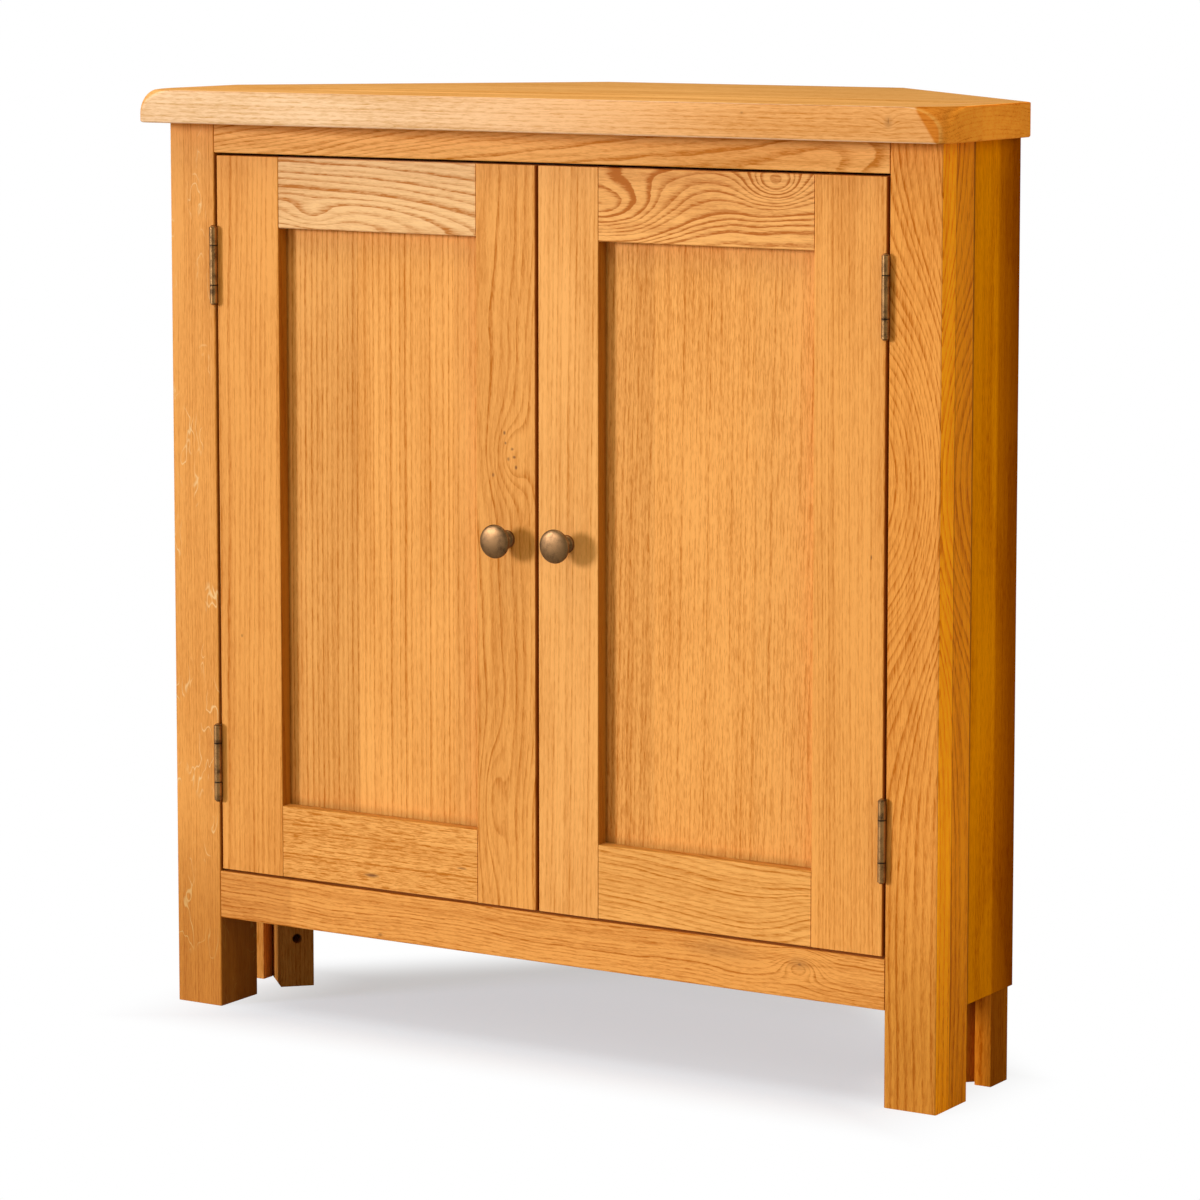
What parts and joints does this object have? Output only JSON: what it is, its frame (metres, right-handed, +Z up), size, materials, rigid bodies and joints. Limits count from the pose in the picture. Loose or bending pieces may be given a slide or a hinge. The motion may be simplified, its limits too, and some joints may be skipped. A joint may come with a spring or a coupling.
{
  "type": "corner cupboard",
  "caption": "Low oak corner cupboard with a six-sided plan, flat framed doors, round brass knobs, butt hinges, an inner shelf and square feet.",
  "frame": {"origin": "centre of the footprint's bounding box, on the floor under the feet", "axes": "+Z up, the doors face -Y, +X to the right of a person facing the doors"},
  "size_m": [0.83, 0.409, 0.85],
  "materials": {
    "oak_face": "satin lacquer on honey oak",
    "oak_top": "satin lacquer on honey oak",
    "oak_side": "satin lacquer on honey oak",
    "oak_inner": "plain oak, lightly finished",
    "antique_brass": "aged brass, soft polish",
    "hinge_metal": "dark aged brass",
    "plain_steel": "plain zinc",
    "catch_plastic": "matte brown"
  },
  "bodies": {
    "cabinet": {"apex_leg_left": "oak_inner", "apex_leg_right": "oak_inner", "back_panel_centre": "oak_inner", "back_panel_left": "oak_inner", "back_panel_right": "oak_inner", "door_catch": "catch_plastic", "floor_bearer_front": "oak_inner", "floor_board": "oak_inner", "front_bottom_rail": "oak_face", "front_post_left": "oak_face", "front_post_right": "oak_face", "front_top_rail": "oak_face", "hinge_lower_left_pin": "hinge_metal", "hinge_lower_left_post_leaf": "hinge_metal", "hinge_lower_right_pin": "hinge_metal", "hinge_lower_right_post_leaf": "hinge_metal", "hinge_upper_left_pin": "hinge_metal", "hinge_upper_left_post_leaf": "hinge_metal", "hinge_upper_right_pin": "hinge_metal", "hinge_upper_right_post_leaf": "hinge_metal", "lower_rail_centre": "oak_inner", "lower_rail_left": "oak_inner", "lower_rail_right": "oak_inner", "rear_leg_left": "oak_side", "rear_leg_right": "oak_side", "shelf": "oak_inner", "shelf_peg_front_left": "plain_steel", "shelf_peg_front_right": "plain_steel", "shelf_peg_rear_left": "plain_steel", "shelf_peg_rear_right": "plain_steel", "side_panel_left": "oak_side", "side_panel_right": "oak_side", "side_rear_leg_left": "oak_side", "side_rear_leg_right": "oak_side", "top_board": "oak_top", "upper_rail_centre": "oak_inner", "upper_rail_left": "oak_inner", "upper_rail_right": "oak_inner"},
    "left_door": {"hinge_lower_left_door_leaf": "hinge_metal", "hinge_upper_left_door_leaf": "hinge_metal", "left_door_bottom_rail": "oak_face", "left_door_hinge_stile": "oak_face", "left_door_knob": "antique_brass", "left_door_knob_screw": "plain_steel", "left_door_meeting_stile": "oak_face", "left_door_panel": "oak_face", "left_door_strike_plate": "plain_steel", "left_door_top_rail": "oak_face"},
    "right_door": {"hinge_lower_right_door_leaf": "hinge_metal", "hinge_upper_right_door_leaf": "hinge_metal", "right_door_bottom_rail": "oak_face", "right_door_hinge_stile": "oak_face", "right_door_knob": "antique_brass", "right_door_knob_screw": "plain_steel", "right_door_meeting_stile": "oak_face", "right_door_panel": "oak_face", "right_door_strike_plate": "plain_steel", "right_door_top_rail": "oak_face"}
  },
  "joints": [
    {"name": "left_door_hinge", "type": "hinge", "parent": "cabinet", "child": "left_door", "pos_m": [-0.34675, -0.1805, 0.4605], "axis": [0, 0, -1], "range_deg": [0, 150]},
    {"name": "right_door_hinge", "type": "hinge", "parent": "cabinet", "child": "right_door", "pos_m": [0.34675, -0.1805, 0.4605], "axis": [0, 0, 1], "range_deg": [0, 150]}
  ]
}
